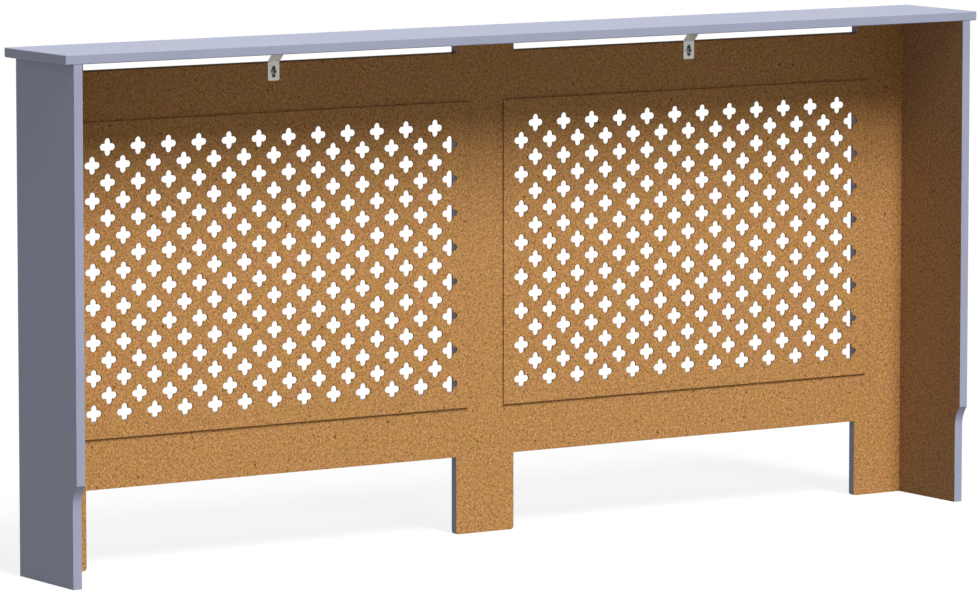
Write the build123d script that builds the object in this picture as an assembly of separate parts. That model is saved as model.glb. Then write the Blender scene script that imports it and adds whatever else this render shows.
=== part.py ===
from build123d import *
import os

# A radiator cover: an open-backed cabinet of stock board with two pierced grilles in its front.
# Millimetres. The floor is z = 0, the room is at -Y and the wall at +Y, and x = 0 and y = 0 are
# the middle of the shelf. Left and right are those of someone who faces the front.

# Overall size
width = 1720.0
depth = 190.0
height = 815.0

# Boards
shelf_thickness = 15.0
end_thickness = 15.0
frame_thickness = 15.0
shelf_side_overhang = 13.5     # shelf past the outer face of each end panel
shelf_front_overhang = 10.5    # shelf past the front of the frame
shelf_arris = 1.0              # bevel on every edge of the shelf
front_arris = 1.5              # bevel on the front edges of the frame and the end panels

# Front frame, cut from one board
side_stile = 95.0
centre_stile = 110.0
top_rail = 105.0
bottom_rail = 105.0
leg_height = 125.0             # floor to bottom rail
air_slot = 25.0                # top rail to shelf
foot_radius = 5.0

# Notch at the back of each end panel, which clears a skirting board
notch_depth = 12.5
notch_height = 127.0           # straight part, from the floor to the start of the curve
notch_radius = 50.0

# Grille sheets, glued over the openings from behind
sheet_thickness = 3.0
sheet_side_lap = 21.0
sheet_end_lap = 26.0
lattice_step = 27.5            # wanted distance from one row or column of holes to the next
hole_span = 27.5
lobe_root = 11.2               # width of a lobe where it leaves the middle of its hole
lobe_tip = 6.8                 # width of a lobe at its end

# Glued dowels, each in the face of one board and the edge of another
dowel_diameter = 8.0
dowel_length = 30.0
dowel_in_face = 10.0           # the rest is in the edge
dowel_inset = 45.0             # from the front and the back of an end panel
glue_line = 0.1                # gap round a dowel
glue_pocket = 1.0              # gap past each end of a dowel

# Steel straps that tie the top rail to the shelf
strap_width = 21.0
strap_thickness = 2.0
strap_leg = 29.5               # length of the leg on the rail
strap_foot = 32.0              # length of the leg under the shelf
strap_bend = 3.0
strap_corner = 3.0
slot_length = 18.0
slot_width = 6.0
slot_margin = 5.0              # from the end of a strap to its slot

# Pan-head screws through the slots of the straps
screw_diameter = 4.0
screw_length = 15.0            # under the head
screw_point = 3.0
head_diameter = 9.0
head_flat = 6.0                # width of the flat on top of the head
head_rim = 1.2                 # height of the head's upright rim
head_height = 2.6
recess_span = 4.6
recess_width = 1.3
recess_depth = 1.5
pilot_gap = 0.1

# Places that follow from the sizes above
rear = depth / 2
frame_front = -depth / 2 + shelf_front_overhang
frame_rear = frame_front + frame_thickness
frame_middle = (frame_front + frame_rear) / 2
shelf_underside = height - shelf_thickness
end_outer = width / 2 - shelf_side_overhang
end_inner = end_outer - end_thickness
opening_width = end_inner - side_stile - centre_stile / 2
opening_middle = centre_stile / 2 + opening_width / 2
rail_top = shelf_underside - air_slot
opening_top = rail_top - top_rail
opening_bottom = leg_height + bottom_rail
opening_height = opening_top - opening_bottom
dowel_middle = dowel_in_face - dowel_length / 2
SIDES = {"left": -1, "right": 1}


# Joints: each place is where a dowel crosses from an edge into a face, with +Z into the face

def shelf_to_end(side):
    across = side * (end_inner + end_outer) / 2
    return [Pos(across, y, shelf_underside) for y in (frame_front + dowel_inset, rear - dowel_inset)]


def shelf_to_side_stile(side):
    return [Pos(side * (end_inner - side_stile / 2), frame_middle, shelf_underside)]


def shelf_to_centre_stile():
    return [Pos(side * centre_stile / 4, frame_middle, shelf_underside) for side in SIDES.values()]


def end_to_frame(side):
    rail_heights = (leg_height + bottom_rail / 2, rail_top - top_rail / 2)
    return [Pos(side * end_inner, frame_middle, z) * Rot(0, 90 * side, 0) for z in rail_heights]


def dowels(joint):
    """The dowels of one joint, as separate pins."""
    pin = Pos(0, 0, dowel_middle) * Cylinder(dowel_diameter / 2, dowel_length)
    return Compound([place * pin for place in joint])


def drilled(board, *joints):
    """The board with a blind hole for each dowel of its joints."""
    bore = Cylinder(dowel_diameter / 2 + glue_line, dowel_length + 2 * glue_pocket)
    for joint in joints:
        for place in joint:
            board -= place * Pos(0, 0, dowel_middle) * bore
    return board


# Screws: each place is the middle of a strap's slot, with +Z out of the strap towards the head

def rail_screw(side):
    z = rail_top - strap_leg + slot_margin + slot_length / 2
    return Pos(side * opening_middle, frame_rear + strap_thickness, z) * Rot(-90, 0, 0)


def shelf_screw(side):
    y = frame_rear + air_slot + strap_foot - slot_margin - slot_length / 2
    return Pos(side * opening_middle, y, shelf_underside - strap_thickness) * Rot(180, 0, 0)


def screw():
    """A pan-head screw with a cross recess, its head standing on z = 0."""
    shank, head = screw_diameter / 2, head_diameter / 2
    with BuildSketch(Plane.XZ) as half:
        with BuildLine():
            Polyline((0, -screw_length), (shank, screw_point - screw_length), (shank, 0), (head, 0),
                     (head, head_rim), (head_flat / 2, head_height), (0, head_height), close=True)
        make_face()
    cross = Rectangle(recess_span, recess_width) + Rectangle(recess_width, recess_span)
    recess = extrude(Pos(0, 0, head_height) * cross, -recess_depth)
    return revolve(half.sketch, Axis.Z) - recess


def piloted(board, place):
    """The board with a blind pilot hole for one screw."""
    into = (Align.CENTER, Align.CENTER, Align.MAX)
    return board - place * Cylinder(screw_diameter / 2 + pilot_gap, screw_length + pilot_gap, align=into)


# Boards

def shelf():
    board = Pos(0, 0, shelf_underside + shelf_thickness / 2) * Box(width, depth, shelf_thickness)
    board = drilled(chamfer(board.edges(), shelf_arris), shelf_to_centre_stile())
    for side in SIDES.values():
        board = drilled(board, shelf_to_end(side), shelf_to_side_stile(side))
        board = piloted(board, shelf_screw(side))
    return board


def end_panel(side):
    """An end panel, square in front and cut away behind: straight up, then in a curve to the back."""
    corner = (Align.MAX, Align.MIN)
    profile = Pos(rear, 0) * Rectangle(rear - frame_front, shelf_underside, align=corner)
    profile -= Pos(rear, 0) * Rectangle(notch_depth, notch_height, align=corner)
    profile -= Pos(rear - notch_depth + notch_radius, notch_height) * Circle(notch_radius)
    board = extrude(Plane.YZ.offset(side * end_inner) * profile, side * end_thickness)
    front_edges = board.edges().filter_by(Axis.Z).group_by(Axis.Y)[0].sort_by(Axis.X)
    outer_edge = front_edges[-1] if side > 0 else front_edges[0]
    return drilled(chamfer(outer_edge, front_arris), shelf_to_end(side), end_to_frame(side))


def front_frame():
    low = (Align.CENTER, Align.MIN)
    profile = Rectangle(2 * end_inner, shelf_underside, align=low)
    for side in SIDES.values():
        for bottom, tall in ((0, leg_height), (opening_bottom, opening_height), (rail_top, air_slot)):
            profile -= Pos(side * opening_middle, bottom) * Rectangle(opening_width, tall, align=low)
    feet = [corner for corner in profile.vertices().group_by(Axis.Y)[0] if abs(corner.X) < end_inner]
    board = extrude(Plane.XZ.offset(-frame_rear) * fillet(feet, foot_radius), frame_thickness)
    free = [edge for edge in board.edges().group_by(Axis.Y)[0] if not is_seated(edge)]
    board = drilled(chamfer(free, front_arris), shelf_to_centre_stile())
    for side in SIDES.values():
        board = drilled(board, shelf_to_side_stile(side), end_to_frame(side))
        board = piloted(board, rail_screw(side))
    return board


def is_seated(edge):
    """Whether an edge of the front frame lies along an end panel or the shelf."""
    middle = edge.center()
    return end_inner - abs(middle.X) < 1e-3 or shelf_underside - middle.Z < 1e-3


# Grilles

def lobed_hole():
    """The outline of one hole: a cross of four lobes, each narrowing from its root to a blunt tip."""
    reach, root, tip = hole_span / 2, lobe_root / 2, lobe_tip / 2
    lobe = [Vector(root, -root), Vector(reach, -tip), Vector(reach, tip)]
    corners = [corner.rotate(Axis.Z, 90 * quarter) for quarter in range(4) for corner in lobe]
    return Wire.make_polygon(corners, close=True)


def evenly(first, last, count):
    """Equally spaced values from first to last."""
    return [first + (last - first) * k / (count - 1) for k in range(count)]


def lattice():
    """Hole centres about the middle of an opening. The rows and columns fill it from edge to edge,
    and the holes stand on every second crossing, like the squares of one colour on a chessboard."""
    reach_x = (opening_width - hole_span) / 2
    reach_z = (opening_height - hole_span) / 2
    columns = 2 * round(reach_x / lattice_step) + 1
    rows = round(2 * reach_z / lattice_step) + 1
    return [
        (x, z)
        for row, z in enumerate(evenly(-reach_z, reach_z, rows))
        for column, x in enumerate(evenly(-reach_x, reach_x, columns))
        if (row + column) % 2 == 0
    ]


def grille(side):
    hole = lobed_hole()
    edge = Wire.make_rect(opening_width + 2 * sheet_side_lap, opening_height + 2 * sheet_end_lap)
    sheet = Face(edge, [hole.moved(Pos(x, z)) for x, z in lattice()])
    middle = Pos(side * opening_middle, opening_bottom + opening_height / 2)
    return extrude(Plane.XZ.offset(-frame_rear) * middle * sheet, sheet_thickness, dir=(0, 1, 0))


# Straps

def strap(side):
    """A strap on the back of the top rail that leans back under the shelf and runs along it."""
    bottom = (frame_rear, rail_top - strap_leg)
    shoulder = (frame_rear, rail_top)
    heel = (frame_rear + air_slot, shelf_underside)
    end = (frame_rear + air_slot + strap_foot, shelf_underside)
    with BuildSketch(Plane.YZ) as profile:
        with BuildLine():
            FilletPolyline(bottom, shoulder, heel, end, radius=strap_bend)
            offset(amount=strap_thickness, side=Side.RIGHT)
        make_face()
    body = extrude(profile.sketch, strap_width / 2, both=True)
    leg_corners = body.edges().filter_by(Axis.Y).group_by(Axis.Z)[0]
    foot_corners = body.edges().filter_by(Axis.Z).group_by(Axis.Y)[-1]
    body = Pos(side * opening_middle, 0, 0) * fillet(leg_corners + foot_corners, strap_corner)
    slot = extrude(SlotOverall(slot_length, slot_width, rotation=90), strap_thickness, both=True)
    return body - rail_screw(side) * slot - shelf_screw(side) * slot


parts = {
    "shelf": shelf(),
    "front_frame": front_frame(),
    "centre_stile_dowels": dowels(shelf_to_centre_stile()),
}
for name, side in SIDES.items():
    parts[f"{name}_end_panel"] = end_panel(side)
    parts[f"{name}_grille"] = grille(side)
    parts[f"{name}_strap"] = strap(side)
    parts[f"{name}_rail_screw"] = rail_screw(side) * screw()
    parts[f"{name}_shelf_screw"] = shelf_screw(side) * screw()
    parts[f"{name}_stile_dowel"] = dowels(shelf_to_side_stile(side))
    parts[f"{name}_end_top_dowels"] = dowels(shelf_to_end(side))
    parts[f"{name}_end_frame_dowels"] = dowels(end_to_frame(side))

os.makedirs("parts", exist_ok=True)
for name, shape in parts.items():
    export_step(shape, f"parts/{name}.step")
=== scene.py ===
import math

import bmesh
import bpy
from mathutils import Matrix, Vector
from mathutils.geometry import tessellate_polygon


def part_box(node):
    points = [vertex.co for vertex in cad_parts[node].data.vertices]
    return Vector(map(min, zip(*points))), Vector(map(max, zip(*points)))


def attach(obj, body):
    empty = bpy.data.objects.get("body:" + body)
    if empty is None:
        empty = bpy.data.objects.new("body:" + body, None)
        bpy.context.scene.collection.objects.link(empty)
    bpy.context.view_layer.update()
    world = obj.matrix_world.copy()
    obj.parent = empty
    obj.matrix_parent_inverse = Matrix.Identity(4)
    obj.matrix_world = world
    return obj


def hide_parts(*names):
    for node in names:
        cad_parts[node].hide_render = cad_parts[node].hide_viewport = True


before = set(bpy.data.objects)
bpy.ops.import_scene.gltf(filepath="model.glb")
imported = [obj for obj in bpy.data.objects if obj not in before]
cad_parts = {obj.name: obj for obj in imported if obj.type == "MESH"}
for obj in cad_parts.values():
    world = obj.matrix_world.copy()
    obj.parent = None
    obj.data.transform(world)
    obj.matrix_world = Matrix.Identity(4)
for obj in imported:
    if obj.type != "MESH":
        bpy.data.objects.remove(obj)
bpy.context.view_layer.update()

# A radiator cover of painted board, seen from behind. Metres. The floor is z = 0, the room is
# at -Y and the wall at +Y.

# Camera, at the photograph's angle
camera_place = (5.645, 8.538, 1.562)
camera_tilt = 83.441          # degrees up from straight down
camera_turn = -213.294        # degrees about the vertical
camera_lens = 238.1
camera_sensor = 36.0
camera_far = 1000.0

# Light. A level of 1 shows a white surface that faces the lamp as white. Heights are in degrees
# above the floor. The key lamps stand in a column behind the cover, like one tall soft box.
white = (1.0, 1.0, 1.0, 1.0)
key_heights = (44.0, 52.0, 60.0)
key_levels = (0.28, 0.28, 0.40)
key_width = 12.0              # degrees across, which sets how soft a lamp's shadows are
fill_height = 3.0             # in front of the cover
fill_level = 0.42
fill_width = 20.0
sky_level = 0.18
floor_half = 300.0
floor_bounce = 0.28           # how much light the floor throws back on the object
floor_glow = 0.84             # white of its own that the camera sees in the floor
floor_shade = 0.20            # share of the light on the floor that the camera sees

# Paint. A tone of 1 leaves a colour as it is, and 0 makes it black.
paint_colour = (0.435, 0.46, 0.60)
soaked_tint = (0.94, 1.0, 0.93)     # of the frame's cut edges, which drink the paint
patch_size = 0.09             # patches a shade lighter or duller
patch_tones = (0.97, 1.02)
patch_roughness = (0.45, 0.55)
dust_size = 0.0012
dust_tone = 0.015             # up and down
rub_size = 0.012              # rubbed stretches along the edges
rub_tone = 0.2                # how much lighter they are
rub_gloss = 0.12              # how much less rough
peel_size = 0.0025            # orange peel
peel_depth = 0.00003
board_specular = 0.18         # painted or bare
arris_radius = 0.0006         # how far the paint and sandpaper round every edge
rim_width = 0.0024            # how far from an edge the board is rubbed or scorched

# Bare fibreboard
bark_brown = (0.17, 0.05, 0.005)
pale_ochre = (0.965, 0.536, 0.182)
pale_pink = (0.985, 0.520, 0.202)
hue_size = 0.03               # patches of ochre and of pink
plain_tint = (1.0, 1.0, 1.0)
end_board_and_shade_tint = (0.745, 0.855, 1.15)     # the end panels' board is darker and greyer, which also paints deeper shade on their bare inner faces
mean_share = 0.52             # of the pale colour in the brown one
mottle_size = 0.007
mottle_share = 0.08           # up and down from that mean, as are the three shares below
tuft_size = 0.0026
tuft_share = 0.12
coarse_fibre = (0.005, 0.0010)      # length and width
coarse_share = 0.32
fine_fibre = (0.002, 0.0003)
fine_share = 0.12
small_bark = (0.009, 0.0022, 0.29)  # spacing, radius and strength of specks
large_bark = (0.024, 0.003, 0.6)
board_roughness = (0.75, 0.9)
fibre_swing = 0.3             # how far fibres go either way while roughness runs between those
fibre_depth = 0.0001

# Zinc plate on the straps and screws
zinc_colour = (0.66, 0.655, 0.61)
screw_colour = (0.35, 0.355, 0.34)  # the screws are duller, as if dipped in oil
spangle_size = 0.004
spangle_tones = (0.95, 1.0)
spangle_roughness = (0.38, 0.45)
cloud_size = 0.006
cloud_tone = 0.04             # up and down
cloud_roughness = 0.1         # added at the most
grit_size = 0.0008
grit_depth = 0.00001
zinc_metallic = 0.75
zinc_specular = 0.5

# Beech of the dowels
beech_colour = (0.62, 0.42, 0.24)
grain_size = 0.002
grain_tones = (0.9, 1.05)
grain_roughness = (0.55, 0.7)
grain_depth = 0.00005
beech_rays = (0.003, 0.0006, 0.15)  # spacing, radius and strength of specks

# Noise, specks and masks
usual_noise = (0.3, 0.7)      # where most of a noise's values lie
rub_noise = (0.4, 0.6)        # values between which a rubbed stretch fades in
hue_noise = (0.35, 0.65)      # values between which ochre turns to pink
speck_core = 0.3              # share of a speck's radius that has its full strength
speck_faintest = 0.2          # strength of the faintest speck as a share of the strongest
speck_numbers = (0.1, 0.9)    # numbers of the cells that hold the faintest and the strongest
bend_start = 0.98             # cosine of the turn that rounding gives a normal where a rim starts
bend_full = 0.8               # the same where a rim is at its strongest
squarely = 0.9                # part of a face's normal along an axis that it faces squarely
slanting = 0.5                # the same along an axis that it is halfway turned to

# Dirt, scorch and painted shade. A dark of 1 is black.
cut_dark = 0.6                # a sheet's cut edges
rim_dark = 0.45               # the rear of a sheet, close round its holes
air_slot_shade = 0.55             # painted shade on the top rail along the air slots, under the shelf
air_slot_shade_width = 0.003
air_slot_shade_full = 0.001            # how far from the edge the painted shade is at its darkest
pocket_shade_grey = (0.31, 0.36, 0.37)    # painted shade on the board round a screw, seen in a strap's slot
pocket_shade_tones = (0.8, 1.1)
pocket_shade_size = 0.002
pocket_shade_width = 0.012          # the patches of painted shade on the board round the rail screws
pocket_shade_height = 0.024
pocket_shade_core = 0.4             # how far from its middle it is full, as a share of its width
slot_rim_shade = 0.55              # painted shade on the turned-down rim of a strap's slot
slot_rim_width = 0.0082
slot_rim_height = 0.0195
slot_rim_blur = 0.0008
recess_rim_shade = 0.5                # painted shade on a screw's head round its recess
rim_shade_start = 0.62              # radii between which it fades in, as shares of the recess's span
rim_shade_full = 0.45
rim_shade_depth = 0.0001            # how far below the recess's floor it reaches
recess_shade = 0.15            # more painted shade, added in the recess
recess_shade_start = 0.0002         # depths between which it fades in
recess_shade_full = 0.0007

# Frame and grilles. Each hole is two crossed slots with round ends.
air_slot = 0.025              # from the top rail up to the shelf
side_lap = 0.021              # a sheet's overlap on the frame at each side of its opening
end_lap = 0.026               # the same at the top and the bottom
lattice_step = 0.0275
hole_span = 0.0275
lobe_width = 0.0106
hole_corner = 0.0010          # round corner where two lobes meet
sheet_arris = 0.0003          # bevel on every edge of a sheet
lobe_segments = 10
corner_segments = 3

# Pan-head screws
shank_radius = 0.0020         # over the thread
core_radius = 0.0014
thread_pitch = 0.0018
thread_turns = 8
thread_steps = 6              # rings of points in each turn
thread_crest = 0.3            # half the width of the thread's ridge, as a share of its pitch
point_length = 0.0030
head_radius = 0.0045
head_rim = 0.0012             # height of the head's upright rim
head_height = 0.0026
rim_round = 0.0003
rim_turn = 60                 # degrees from the upright rim round to the dome
rim_segments = 4
dome_segments = 12
recess_span = 0.0056          # from end to end of each arm of the cross
recess_width = 0.0022
recess_depth = 0.0017
recess_taper = 0.6            # size of the recess's bottom as a share of its mouth
screw_segments = 48
sharp_angle = 30              # degrees. A gentler edge is shaded smooth.


# Shader nodes

def add(tree, kind, inputs=None, **settings):
    """A new node. Each input is a constant, or an output of another node."""
    made = tree.nodes.new(kind)
    for name, value in settings.items():
        setattr(made, name, value)
    for name, value in (inputs or {}).items():
        if isinstance(value, bpy.types.NodeSocket):
            tree.links.new(value, made.inputs[name])
        else:
            made.inputs[name].default_value = value
    return made


def maths(tree, operation, *values):
    made = add(tree, "ShaderNodeMath", dict(enumerate(values)), operation=operation)
    return made.outputs[0]


def vector_maths(tree, operation, inputs):
    return add(tree, "ShaderNodeVectorMath", inputs, operation=operation).outputs


def parts_of(tree, vector):
    """The X, Y and Z of a vector."""
    return add(tree, "ShaderNodeSeparateXYZ", {0: vector}).outputs


def length_of(tree, across, up):
    squares = maths(tree, "MULTIPLY_ADD", across, across, maths(tree, "MULTIPLY", up, up))
    return maths(tree, "SQRT", squares)


def noise(tree, place, size, detail=2.0, roughness=0.5):
    """Noise from about 0 to 1, with features about that size across."""
    inputs = {"Vector": place, "Scale": 1 / size, "Detail": detail, "Roughness": roughness}
    return add(tree, "ShaderNodeTexNoise", inputs).outputs["Fac"]


def cells(tree, place, size):
    """Random cells about that size across: how far a place is from its cell's middle, as a
    share of the size, and a number of each cell from 0 to 1."""
    cell = add(tree, "ShaderNodeTexVoronoi", {"Vector": place, "Scale": 1 / size}).outputs
    number = add(tree, "ShaderNodeSeparateColor", {0: cell["Color"]}).outputs[0]
    return cell["Distance"], number


def ramp(tree, value, low, high, start=0.0, end=1.0):
    """Start below low, end above high, and a smooth step between them."""
    inputs = {"Value": value, "From Min": low, "From Max": high, "To Min": start, "To Max": end}
    return add(tree, "ShaderNodeMapRange", inputs, interpolation_type="SMOOTHSTEP").outputs[0]


def spread(tree, cloud, limits):
    """Noise stretched to run from the first limit to the second."""
    return ramp(tree, cloud, *usual_noise, *limits)


def swing(tree, cloud, strength, reach=0.2):
    """From -strength to strength, as noise goes from reach below its middle to reach above it."""
    return ramp(tree, cloud, 0.5 - reach, 0.5 + reach, -strength, strength)


def blend_colours(tree, share, first, second):
    """The first colour where share is 0, and the second where it is 1."""
    sockets = {0: share, 6: first, 7: second}
    return add(tree, "ShaderNodeMix", sockets, data_type="RGBA").outputs[2]


def blend_values(tree, share, first, second):
    """The first value where share is 0, and the second where it is 1."""
    sockets = {0: share, 2: first, 3: second}
    return add(tree, "ShaderNodeMix", sockets, data_type="FLOAT").outputs[0]


def shaded(tree, colour, tone):
    """A colour, a constant or a socket, with its three values times a tone."""
    return vector_maths(tree, "SCALE", {0: colour, "Scale": tone})["Vector"]


def tinted(tree, colour, tint):
    """A colour times another, value by value."""
    return vector_maths(tree, "MULTIPLY", {0: colour, 1: tint})["Vector"]


def darkened(tree, share, dark, tone=1.0):
    """A tone where share is 0, and less by dark where it is 1."""
    return maths(tree, "MULTIPLY_ADD", share, -dark, tone)


def position(tree):
    return add(tree, "ShaderNodeTexCoord").outputs["Object"]


def rounded_normal(tree, radius):
    """The normals that a surface would have with its sharp edges rounded."""
    return add(tree, "ShaderNodeBevel", {"Radius": radius}, samples=4).outputs[0]


def new_material(name):
    material = bpy.data.materials.new(name)
    material.use_nodes = True
    material.node_tree.nodes.clear()
    return material


def finish_surface(material, colour, roughness, height, metallic=0.0, specular=board_specular):
    """Ends a material with its shader. Height is in metres."""
    tree = material.node_tree
    bump = add(tree, "ShaderNodeBump", {
        "Height": height,
        "Distance": 1.0,
        "Strength": 1.0,
        "Normal": rounded_normal(tree, arris_radius),
    })
    surface = add(tree, "ShaderNodeBsdfPrincipled", {
        "Base Color": colour,
        "Roughness": roughness,
        "Metallic": metallic,
        "Specular IOR Level": specular,
        "Normal": bump.outputs["Normal"],
    })
    add(tree, "ShaderNodeOutputMaterial", {"Surface": surface.outputs["BSDF"]})
    return material


# Masks: 1 in the places that each names, and 0 elsewhere

def edges(tree, width):
    """1 on a sharp edge and 0 from that width inwards."""
    own = add(tree, "ShaderNodeNewGeometry").outputs["Normal"]
    bend = vector_maths(tree, "DOT_PRODUCT", {0: rounded_normal(tree, width), 1: own})["Value"]
    return ramp(tree, bend, bend_start, bend_full)


def facing(tree):
    """The three parts of a face's own normal."""
    return parts_of(tree, add(tree, "ShaderNodeNewGeometry").outputs["True Normal"])


def faces_back(tree):
    return maths(tree, "GREATER_THAN", facing(tree)["Y"], squarely)


def faces_inward(side):
    """A mask of an end panel's inner face. The side is -1 for the left end and 1 for the right."""
    def mask(tree):
        inward = maths(tree, "MULTIPLY", facing(tree)["X"], -side)
        return maths(tree, "GREATER_THAN", inward, squarely)
    return mask


def not_in_front(tree):
    """All but the face that a spray from the room reaches."""
    return maths(tree, "GREATER_THAN", facing(tree)["Y"], -slanting)


def cut_edges(tree):
    """The faces of the frame or a sheet that face sideways, up or down."""
    return maths(tree, "LESS_THAN", maths(tree, "ABSOLUTE", facing(tree)["Y"]), slanting)


# Finishes. Those of paint and board are a colour, a roughness and a height in metres.

def specks(tree, place, spacing, radius, strength):
    """Soft dots in random places, each up to that strong in its middle, and 0 outside them."""
    distance, number = cells(tree, place, spacing)
    dot = ramp(tree, distance, radius / spacing, speck_core * radius / spacing)
    weight = ramp(tree, number, *speck_numbers, speck_faintest * strength, strength)
    return maths(tree, "MULTIPLY", dot, weight)


def paint(tree, place, rim):
    """Satin paint: a faint orange peel, patches a shade lighter or duller, and rubbed edges."""
    patches = noise(tree, place, patch_size, detail=3.0)
    dust = noise(tree, place, dust_size)
    rubs = ramp(tree, noise(tree, place, rub_size, detail=3.0), *rub_noise)
    rubbed = maths(tree, "MULTIPLY", rim, rubs)
    tone = maths(tree, "ADD", spread(tree, patches, patch_tones), swing(tree, dust, dust_tone))
    tone = maths(tree, "MULTIPLY_ADD", rubbed, rub_tone, tone)
    roughness = spread(tree, patches, patch_roughness)
    roughness = maths(tree, "MULTIPLY_ADD", rubbed, -rub_gloss, roughness)
    height = maths(tree, "MULTIPLY", noise(tree, place, peel_size, detail=1.0), peel_depth)
    return shaded(tree, paint_colour, tone), roughness, height


def fibre_mat(tree, place, length, width, first_angle):
    """Fibres that lie in three directions on an upright face, as noise from about 0 to 1."""
    x, y, z = parts_of(tree, place)
    face = add(tree, "ShaderNodeCombineXYZ", {0: maths(tree, "ADD", x, y), 1: z}).outputs[0]
    mat = 0.0
    for angle in (first_angle, first_angle + 60, first_angle + 120):
        lie = {
            "Vector": face,
            "Rotation": (0.0, 0.0, math.radians(angle)),
            "Scale": (length, width, 1.0),
        }
        turned = add(tree, "ShaderNodeMapping", lie, vector_type="TEXTURE").outputs[0]
        mat = maths(tree, "MULTIPLY_ADD", noise(tree, turned, 1.0, detail=1.0), 1 / 3, mat)
    return mat


def pressed_fibres(tree, place):
    """Fibres, long and short, and the tufts between them, as shares of the pale colour."""
    tufts = noise(tree, place, tuft_size, roughness=0.7)
    coarse = fibre_mat(tree, place, *coarse_fibre, first_angle=15)
    fine = fibre_mat(tree, place, *fine_fibre, first_angle=45)
    coarse = swing(tree, coarse, coarse_share, reach=0.12)
    fine = swing(tree, fine, fine_share, reach=0.12)
    tufts = swing(tree, tufts, tuft_share, reach=0.25)
    return maths(tree, "ADD", maths(tree, "ADD", coarse, fine), tufts)


def bare_board(tree, place, tint):
    """Bare fibreboard: pressed fibres with a soft mottle and dark specks of bark."""
    mottle = noise(tree, place, mottle_size, detail=3.0, roughness=0.7)
    mottle = swing(tree, mottle, mottle_share, reach=0.25)
    fibres = pressed_fibres(tree, place)
    bark = [specks(tree, place, *kind) for kind in (small_bark, large_bark)]
    grain = maths(tree, "ADD", mottle, fibres)
    grain = maths(tree, "SUBTRACT", grain, maths(tree, "MAXIMUM", *bark))
    hue = ramp(tree, noise(tree, place, hue_size, roughness=0.6), *hue_noise)
    palest = blend_colours(tree, hue, (*pale_ochre, 1.0), (*pale_pink, 1.0))
    share = maths(tree, "MAXIMUM", maths(tree, "ADD", grain, mean_share), 0.0)
    colour = blend_colours(tree, share, (*bark_brown, 1.0), palest)
    roughness = ramp(tree, fibres, -fibre_swing, fibre_swing, *board_roughness)
    height = maths(tree, "MULTIPLY", fibres, fibre_depth)
    return tinted(tree, colour, tint), roughness, height


def painted(name):
    """Board that is painted all round."""
    material = new_material(name)
    tree = material.node_tree
    colour, roughness, height = paint(tree, position(tree), edges(tree, rim_width))
    return finish_surface(material, colour, roughness, height)


def two_tone(name, bare_where, tint=plain_tint, colour_marks=(), fuzzy_where=None):
    """Painted board, bare and fuzzy where the masks say so. Each stain, and each patch of painted
    shade, changes the colour.
    """
    material = new_material(name)
    tree = material.node_tree
    place = position(tree)
    bare = bare_where(tree)
    rim = edges(tree, rim_width)
    coat_colour, coat_roughness, coat_height = paint(tree, place, rim)
    bare_colour, bare_roughness, bare_height = bare_board(tree, place, tint)
    colour = blend_colours(tree, bare, coat_colour, bare_colour)
    # stains, and patches of painted shade
    for colour_mark in colour_marks:
        colour = colour_mark(tree, place, rim, colour)
    roughness = blend_values(tree, bare, coat_roughness, bare_roughness)
    if fuzzy_where:
        roughness = maths(tree, "MAXIMUM", roughness, fuzzy_where(tree))
    height = blend_values(tree, bare, coat_height, bare_height)
    return finish_surface(material, colour, roughness, height)


def zinc(name, plate_colour, unshaded):
    """Zinc plate with faint spangles and clouds, darkened by painted shade where unshaded is low.
    """
    material = new_material(name)
    tree = material.node_tree
    place = position(tree)
    spangle = cells(tree, place, spangle_size)[1]
    cloud = noise(tree, place, cloud_size, detail=3.0)
    tone = ramp(tree, spangle, 0.0, 1.0, *spangle_tones)
    tone = maths(tree, "ADD", tone, swing(tree, cloud, cloud_tone))
    # painted shade where unshaded is below 1
    tone = maths(tree, "MULTIPLY", tone, unshaded(tree))
    roughness = ramp(tree, spangle, 0.0, 1.0, *spangle_roughness)
    roughness = maths(tree, "ADD", roughness, spread(tree, cloud, (0.0, cloud_roughness)))
    height = maths(tree, "MULTIPLY", noise(tree, place, grit_size), grit_depth)
    colour = shaded(tree, plate_colour, tone)
    return finish_surface(material, colour, roughness, height, zinc_metallic, zinc_specular)


def beech():
    """Beech turned into dowels, with grain and short dark rays."""
    material = new_material("beech")
    tree = material.node_tree
    place = position(tree)
    grain = noise(tree, place, grain_size, detail=4.0, roughness=0.6)
    rays = specks(tree, place, *beech_rays)
    tone = maths(tree, "SUBTRACT", spread(tree, grain, grain_tones), rays)
    roughness = spread(tree, grain, grain_roughness)
    height = maths(tree, "MULTIPLY", grain, grain_depth)
    return finish_surface(material, shaded(tree, beech_colour, tone), roughness, height)


# Stains and painted shade, each of which takes a colour and gives it back changed

def soaked_edges(tree, place, rim, colour):
    """Cut edges, where the board has drunk the paint."""
    return blend_colours(tree, cut_edges(tree), colour, tinted(tree, colour, soaked_tint))


def shaded_air_slots(tree, place, rim, colour):
    """Painted shade on the top rail's upper and rear faces, dark along the air slots. These are as
    wide as the openings that the sheets cover."""
    low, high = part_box("right_grille")
    half_width = (high.x - low.x) / 2 - side_lap
    rail_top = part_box("front_frame")[1].z - air_slot
    x, _, z = parts_of(tree, place)
    across = maths(tree, "SUBTRACT", maths(tree, "ABSOLUTE", x), (low.x + high.x) / 2)
    within = maths(tree, "LESS_THAN", maths(tree, "ABSOLUTE", across), half_width)
    from_edge = maths(tree, "ABSOLUTE", maths(tree, "SUBTRACT", z, rail_top))
    near = ramp(tree, from_edge, air_slot_shade_width, air_slot_shade_full)
    near = maths(tree, "MULTIPLY", maths(tree, "MULTIPLY", within, near), not_in_front(tree))
    # painted shade along the air slots
    return shaded(tree, colour, darkened(tree, near, air_slot_shade))


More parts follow.
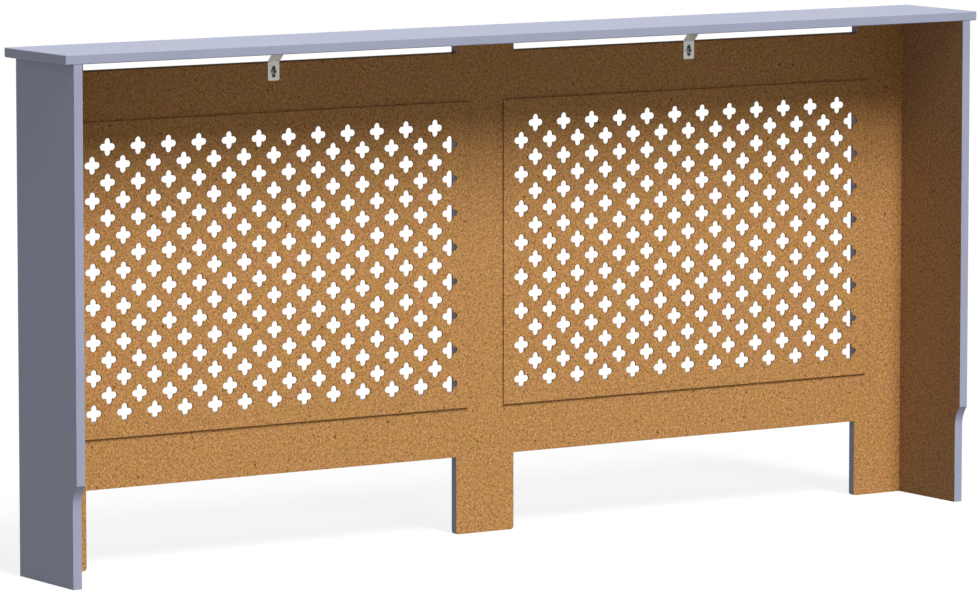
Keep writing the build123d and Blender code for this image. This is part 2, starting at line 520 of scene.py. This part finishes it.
def from_rail_screw(tree, place):
    """How far a place is across and up from the middle of the rail screw on its side."""
    low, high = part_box("right_rail_screw")
    middle = (low + high) / 2
    x, _, z = parts_of(tree, place)
    across = maths(tree, "SUBTRACT", maths(tree, "ABSOLUTE", x), middle.x)
    return across, maths(tree, "SUBTRACT", z, middle.z)


def screw_pocket_shade(tree, place, rim, colour):
    """Painted shade: grey patches on the frame's rear face round the two rail screws."""
    across, up = from_rail_screw(tree, place)
    up = maths(tree, "MULTIPLY", up, pocket_shade_width / pocket_shade_height)
    away = length_of(tree, across, up)
    share = ramp(tree, away, pocket_shade_width / 2, pocket_shade_core * pocket_shade_width)
    share = maths(tree, "MULTIPLY", share, faces_back(tree))
    tone = spread(tree, noise(tree, place, pocket_shade_size), pocket_shade_tones)
    # painted shade, grey, round each rail screw
    return blend_colours(tree, share, colour, shaded(tree, pocket_shade_grey, tone))


def scorched_rims(tree, place, rim, colour):
    """A sheet is dark on its cut edges, and a little on its rear face close round each hole."""
    rear = darkened(tree, maths(tree, "MULTIPLY", rim, faces_back(tree)), rim_dark)
    return shaded(tree, colour, darkened(tree, cut_edges(tree), cut_dark, rear))


# Painted shade on zinc plate: 1 where there is none, and less where it is shaded

def shade_round_the_slot(tree):
    """Painted shade: low where the press has turned down the rim of a strap's slot, and 1
    elsewhere.
    """
    across, up = from_rail_screw(tree, position(tree))
    straight = (slot_rim_height - slot_rim_width) / 2
    past = maths(tree, "SUBTRACT", maths(tree, "ABSOLUTE", up), straight)
    away = length_of(tree, across, maths(tree, "MAXIMUM", past, 0.0))
    rim = ramp(tree, away, slot_rim_width / 2, slot_rim_width / 2 - slot_rim_blur)
    return darkened(tree, rim, slot_rim_shade)


def shade_round_the_recess(tree):
    """Painted shade: 1 on a screw, less round the recess in its head, and least in it."""
    x, y, z = parts_of(tree, position(tree))
    away = length_of(tree, x, y)
    on_head = maths(tree, "GREATER_THAN", z, head_height - recess_depth - rim_shade_depth)
    near = ramp(tree, away, rim_shade_start * recess_span, rim_shade_full * recess_span)
    shaded_rim = maths(tree, "MULTIPLY", on_head, near)
    sunk = ramp(tree, z, head_height - recess_shade_start, head_height - recess_shade_full)
    deep = maths(tree, "MULTIPLY", shaded_rim, sunk)
    dark = maths(tree, "MULTIPLY", shaded_rim, recess_rim_shade)
    dark = maths(tree, "MULTIPLY_ADD", deep, recess_shade, dark)
    return maths(tree, "SUBTRACT", 1.0, dark)


# Meshes

def arc(middle, radius, start, turn, segments):
    """Points along an arc, its first and last points included. Angles are in degrees."""
    angles = [math.radians(start + turn * k / segments) for k in range(segments + 1)]
    return [(middle[0] + radius * math.cos(a), middle[1] + radius * math.sin(a)) for a in angles]


def all_round(points):
    """The points of a quarter of an outline, and the same points turned into the others."""
    outline = []
    for quarter in range(4):
        turn = math.radians(90 * quarter)
        cos, sin = math.cos(turn), math.sin(turn)
        outline += [(x * cos - y * sin, x * sin + y * cos) for x, y in points]
    return outline


def wall(mesh, first, second):
    """A closed band of faces between two rings."""
    for k in range(len(first)):
        mesh.faces.new((first[k - 1], first[k], second[k], second[k - 1]))


def smooth(data):
    data.shade_smooth()
    data.set_sharp_from_angle(angle=math.radians(sharp_angle))


def mesh_object(name, mesh):
    data = bpy.data.meshes.new(name)
    mesh.to_mesh(data)
    mesh.free()
    smooth(data)
    made = bpy.data.objects.new(name, data)
    bpy.context.scene.collection.objects.link(made)
    return made


# Grilles

def hole_outline(grow):
    """The outline of a hole about its middle, larger than the real one by grow on every side."""
    half = lobe_width / 2 + grow
    corner = hole_corner - grow
    end = hole_span / 2 - lobe_width / 2
    meet = half + corner
    lobe = arc((end, 0), half, -90, 180, lobe_segments)
    lobe += arc((meet, meet), corner, -90, -90, corner_segments)[:-1]
    return all_round(lobe)


def evenly(first, last, count):
    return [first + (last - first) * k / (count - 1) for k in range(count)]


def lattice(low, high):
    """Middles of the holes, on every second crossing of rows and columns that fill the opening."""
    left, right = low.x + side_lap + hole_span / 2, high.x - side_lap - hole_span / 2
    bottom, top = low.z + end_lap + hole_span / 2, high.z - end_lap - hole_span / 2
    columns = 2 * round((right - left) / 2 / lattice_step) + 1
    rows = round((top - bottom) / lattice_step) + 1
    return [
        (x, z)
        for row, z in enumerate(evenly(bottom, top, rows))
        for column, x in enumerate(evenly(left, right, columns))
        if (row + column) % 2 == 0
    ]


def sheet_loops(low, high, grow):
    """The sheet's edge and the outlines of its holes, moved into the sheet by grow."""
    edge = [(low.x + grow, low.z + grow), (high.x - grow, low.z + grow),
            (high.x - grow, high.z - grow), (low.x + grow, high.z - grow)]
    outline = hole_outline(grow)
    holes = [[(x + dx, z + dz) for dx, dz in outline] for x, z in lattice(low, high)]
    return [edge] + holes


def grille(name, node):
    """A pierced sheet in the place of its CAD node, with every lobe round and every edge eased."""
    low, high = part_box(node)
    levels = [(low.y, sheet_arris), (low.y + sheet_arris, 0.0),
              (high.y - sheet_arris, 0.0), (high.y, sheet_arris)]
    layers = [sheet_loops(low, high, grow) for _, grow in levels]
    mesh = bmesh.new()
    rings = [[[mesh.verts.new((x, y, z)) for x, z in loop] for loop in loops]
             for (y, _), loops in zip(levels, layers)]
    for lower, upper in zip(rings, rings[1:]):
        for first, second in zip(lower, upper):
            wall(mesh, first, second)
    triangles = tessellate_polygon([[Vector((x, z, 0)) for x, z in loop] for loop in layers[0]])
    for ring in (rings[0], rings[-1]):
        corners = [vertex for loop in ring for vertex in loop]
        for triangle in triangles:
            mesh.faces.new([corners[k] for k in triangle])
    bmesh.ops.recalc_face_normals(mesh, faces=mesh.faces)
    return mesh_object(name, mesh)


def fit_grille(side, material):
    sheet = grille(f"{side}_grille_sheet", f"{side}_grille")
    sheet.data.materials.append(material)
    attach(sheet, "root")
    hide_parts(f"{side}_grille")


# Screws

def head_profile():
    """Radius and height of the head's outline, from its underside to the top of its dome."""
    round_middle = (head_radius - rim_round, head_rim - rim_round)
    outline = [(head_radius, 0.0)] + arc(round_middle, rim_round, 0, rim_turn, rim_segments)
    rim, low = outline[-1]
    for k in range(1, dome_segments):
        turn = math.radians(90 * k / dome_segments)
        outline.append((rim * math.cos(turn), low + (head_height - low) * math.sin(turn)))
    return outline


def thread_profile(turn):
    """Radius and height down the shank, where the thread has come round by a share of a turn."""
    steps = thread_steps * thread_turns
    length = thread_pitch * thread_turns
    outline = []
    for k in range(steps):
        depth = length * k / steps
        phase = (depth / thread_pitch + turn) % 1.0
        crest = max(0.0, 1 - abs(phase - 0.5) / thread_crest)
        taper = min(1.0, (length - depth) / point_length)
        outline.append(((core_radius + (shank_radius - core_radius) * crest) * taper, -depth))
    return outline


def screw_body():
    """A pan-head screw that points down, with the underside of its head on z = 0."""
    mesh = bmesh.new()
    rings = []
    for k in range(screw_segments):
        angle = 2 * math.pi * k / screw_segments
        cos, sin = math.cos(angle), math.sin(angle)
        outline = thread_profile(k / screw_segments)[::-1] + head_profile()
        rings.append([mesh.verts.new((r * cos, r * sin, z)) for r, z in outline])
    for first, second in zip(rings, rings[1:] + rings[:1]):
        for k in range(len(first) - 1):
            mesh.faces.new((first[k], second[k], second[k + 1], first[k + 1]))
    mesh.faces.new([ring[0] for ring in reversed(rings)])
    mesh.faces.new([ring[-1] for ring in rings])
    bmesh.ops.recalc_face_normals(mesh, faces=mesh.faces)
    return mesh_object("screw_body", mesh)


def recess_cutter():
    """A cross that narrows downwards, to be cut out of a screw's head."""
    mesh = bmesh.new()
    arm, half = recess_span / 2, recess_width / 2
    cross = all_round([(arm, -half), (arm, half), (half, half)])
    floor, mouth = head_height - recess_depth, head_height + recess_depth
    flare = 2 - recess_taper
    bottom = [mesh.verts.new((x * recess_taper, y * recess_taper, floor)) for x, y in cross]
    top = [mesh.verts.new((x * flare, y * flare, mouth)) for x, y in cross]
    wall(mesh, bottom, top)
    mesh.faces.new(bottom)
    mesh.faces.new(top)
    bmesh.ops.recalc_face_normals(mesh, faces=mesh.faces)
    return mesh_object("recess_cutter", mesh)


def screw_mesh():
    """The mesh of a whole screw, with its recess cut."""
    body, cutter = screw_body(), recess_cutter()
    cut = body.modifiers.new("recess", "BOOLEAN")
    cut.operation = "DIFFERENCE"
    cut.object = cutter
    scene_now = bpy.context.evaluated_depsgraph_get()
    data = bpy.data.meshes.new_from_object(body.evaluated_get(scene_now))
    for spare in (body, cutter):
        bpy.data.objects.remove(spare)
    smooth(data)
    return data


def fit_screw(node):
    """A detailed screw in the place of its CAD node: into the rail, or up into the shelf."""
    low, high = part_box(node)
    middle = (low + high) / 2
    piece = bpy.data.objects.new(f"{node}_detailed", screw_data)
    bpy.context.scene.collection.objects.link(piece)
    if "rail" in node:
        piece.location = (middle.x, high.y - head_height, middle.z)
        piece.rotation_euler = (math.radians(-90), 0, 0)
    else:
        piece.location = (middle.x, middle.y, low.z + head_height)
        piece.rotation_euler = (math.radians(180), 0, 0)
    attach(piece, "root")
    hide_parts(node)


# Stage

def seen_directly(tree):
    """1 for what the camera sees, also by a reflection or through glass, and 0 for light."""
    path = add(tree, "ShaderNodeLightPath").outputs
    seen = maths(tree, "MAXIMUM", path["Is Camera Ray"], path["Is Glossy Ray"])
    return maths(tree, "MAXIMUM", seen, path["Is Transmission Ray"])


def shader(tree, kind, inputs=None):
    return add(tree, kind, inputs).outputs[0]


def make_sky():
    world = bpy.data.worlds.new("studio")
    bpy.context.scene.world = world
    world.use_nodes = True
    tree = world.node_tree
    tree.nodes.clear()
    light = shader(tree, "ShaderNodeBackground", {"Color": white, "Strength": sky_level})
    backdrop = shader(tree, "ShaderNodeBackground", {"Color": white, "Strength": 1.0})
    both = {0: seen_directly(tree), 1: light, 2: backdrop}
    sky = shader(tree, "ShaderNodeMixShader", both)
    add(tree, "ShaderNodeOutputWorld", {"Surface": sky})


def matt_grey(tree, level):
    return shader(tree, "ShaderNodeBsdfDiffuse", {"Color": (level, level, level, 1.0)})


def make_floor():
    """A pale floor that shows the object's shadow and can't be seen from below."""
    mesh = bmesh.new()
    bmesh.ops.create_grid(mesh, x_segments=1, y_segments=1, size=floor_half)
    floor = mesh_object("floor", mesh)
    material = new_material("floor")
    tree = material.node_tree
    glow = shader(tree, "ShaderNodeEmission", {"Color": white, "Strength": floor_glow})
    pale = shader(tree, "ShaderNodeAddShader", {0: glow, 1: matt_grey(tree, floor_shade)})
    both = {0: seen_directly(tree), 1: matt_grey(tree, floor_bounce), 2: pale}
    top = shader(tree, "ShaderNodeMixShader", both)
    below = add(tree, "ShaderNodeNewGeometry").outputs["Backfacing"]
    sides = {0: below, 1: top, 2: shader(tree, "ShaderNodeBsdfTransparent")}
    surface = shader(tree, "ShaderNodeMixShader", sides)
    add(tree, "ShaderNodeOutputMaterial", {"Surface": surface})
    floor.data.materials.append(material)


def make_lamp(name, level, height, width, from_behind):
    """A distant lamp straight behind or in front of the object. One in front makes no glare."""
    data = bpy.data.lights.new(name, "SUN")
    data.energy = level * math.pi
    data.angle = math.radians(width)
    lamp = bpy.data.objects.new(name, data)
    tilt = math.radians(90 - height)
    lamp.rotation_euler = (-tilt if from_behind else tilt, 0, 0)
    lamp.visible_glossy = from_behind
    bpy.context.scene.collection.objects.link(lamp)


def make_camera():
    data = bpy.data.cameras.new("camera")
    data.lens = camera_lens
    data.sensor_width = camera_sensor
    data.clip_end = camera_far
    camera = bpy.data.objects.new("camera", data)
    camera.location = camera_place
    camera.rotation_euler = (math.radians(camera_tilt), 0, math.radians(camera_turn))
    bpy.context.scene.collection.objects.link(camera)
    bpy.context.scene.camera = camera


# The object

def dress(node, material):
    """Gives a CAD node its finish."""
    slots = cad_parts[node].data.materials
    slots.clear()
    slots.append(material)


def dress_boards():
    # The frame: its cut edges' tint, and painted shade along the air slots and round the rail
    # screws
    colour_marks = (soaked_edges, shaded_air_slots, screw_pocket_shade)
    frame_board = two_tone("frame_board", faces_back, colour_marks=colour_marks, fuzzy_where=cut_edges)
    dress("front_frame", frame_board)
    dress("shelf", painted("shelf_board"))
    # the end panels' tint also paints shade on their bare inner faces
    dress("left_end_panel", two_tone("left_end_board", faces_inward(-1), end_board_and_shade_tint))
    dress("right_end_panel", two_tone("right_end_board", faces_inward(1), end_board_and_shade_tint))


def dress_fittings():
    # painted shade round the straps' slots
    steel = zinc("zinc_plate", zinc_colour, shade_round_the_slot)
    wood = beech()
    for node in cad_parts:
        if "strap" in node:
            dress(node, steel)
        if "dowel" in node:
            dress(node, wood)
        if "screw" in node:
            fit_screw(node)


screw_data = screw_mesh()
# painted shade round the screws' recesses
screw_data.materials.append(zinc("zinc_screw", screw_colour, shade_round_the_recess))
dress_boards()
dress_fittings()
sheet_board = two_tone("sheet_board", not_in_front, colour_marks=(scorched_rims,))
for side in ("left", "right"):
    fit_grille(side, sheet_board)
make_sky()
make_floor()
for number, (height, level) in enumerate(zip(key_heights, key_levels), 1):
    make_lamp(f"key_{number}", level, height, key_width, from_behind=True)
make_lamp("fill", fill_level, fill_height, fill_width, from_behind=False)
make_camera()
bpy.context.scene.view_settings.view_transform = "Standard"
